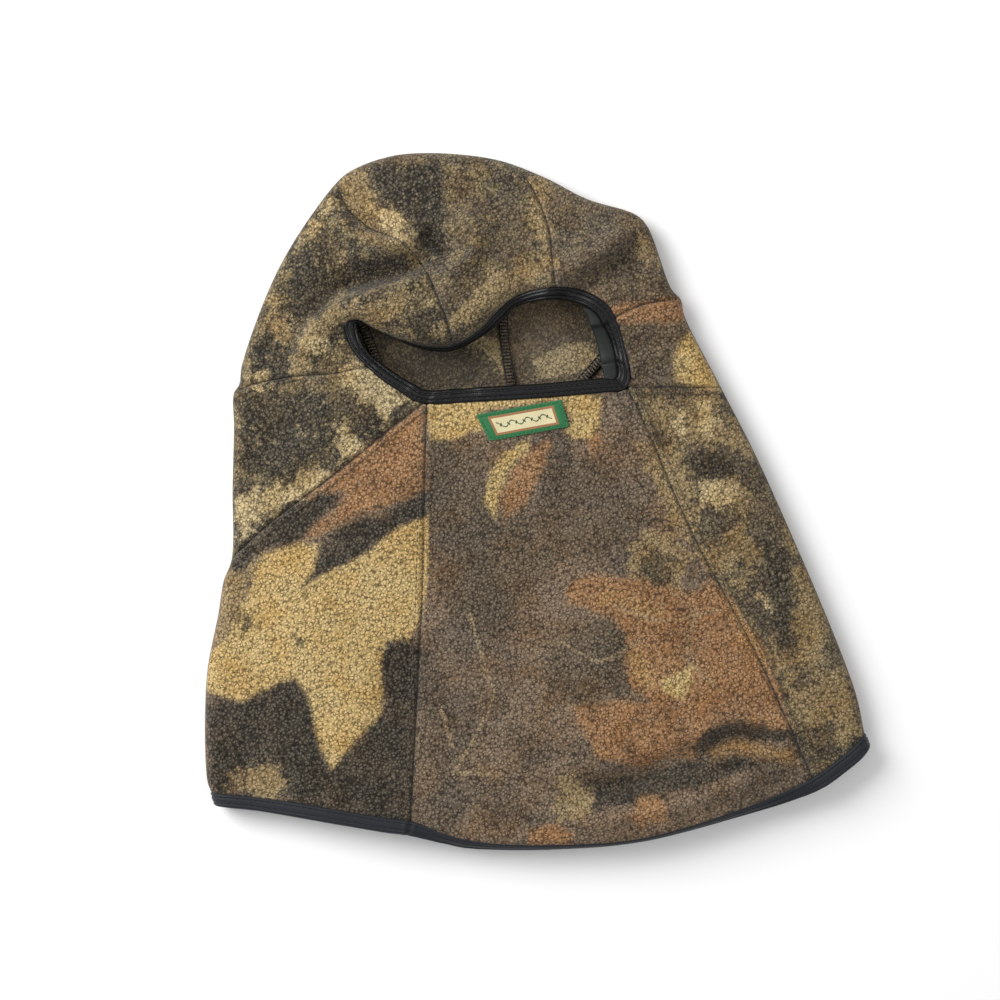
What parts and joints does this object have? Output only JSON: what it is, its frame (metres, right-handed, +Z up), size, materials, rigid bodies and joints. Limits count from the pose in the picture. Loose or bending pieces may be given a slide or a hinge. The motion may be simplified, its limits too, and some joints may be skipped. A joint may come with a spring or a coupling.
{
  "type": "fleece balaclava",
  "caption": "Pull-over fleece hood in a bark and leaf camouflage print, lying flat, with a bound face opening and a bound flared hem that covers the neck.",
  "frame": {"origin": "centre of the underside of the laid hood, on the surface it lies on", "axes": "+Y from the hem to the crown, +Z up out of the face opening, +X to the viewer's right"},
  "size_m": [0.3782, 0.4106, 0.0311],
  "materials": {
    "camouflage_fleece": "brushed anti-pill fleece, printed",
    "black_stretch_binding": "smooth stretch tape with a slight sheen",
    "navy_black_hem_binding": "smooth stretch tape, matt",
    "dark_thread": "polyester thread",
    "overlock_thread": "overlocked thread",
    "woven_label": "woven damask",
    "green_label_thread": "polyester thread"
  },
  "bodies": {
    "root": {"crown_centre_strip": "camouflage_fleece", "crown_side_left": "camouflage_fleece", "crown_side_right": "camouflage_fleece", "neck_side_left": "camouflage_fleece", "neck_side_right": "camouflage_fleece", "skirt_left": "camouflage_fleece", "skirt_right": "camouflage_fleece", "front_bib": "camouflage_fleece", "face_binding": "black_stretch_binding", "face_binding_stitching_1": "dark_thread", "face_binding_stitching_2": "dark_thread", "hem_binding": "navy_black_hem_binding", "hem_binding_stitching": "dark_thread", "crown_base_overlock": "overlock_thread", "yoke_overlock": "overlock_thread", "strip_left_overlock": "overlock_thread", "strip_right_overlock": "overlock_thread", "centre_back_skirt_overlock": "overlock_thread", "centre_back_neck_overlock": "overlock_thread", "bib_left_overlock": "overlock_thread", "bib_right_overlock": "overlock_thread", "yoke_left_topstitching": "dark_thread", "yoke_right_topstitching": "dark_thread", "bib_left_topstitching": "dark_thread", "bib_right_topstitching": "dark_thread", "label_patch": "woven_label", "label_stitching": "green_label_thread"}
  },
  "joints": []
}
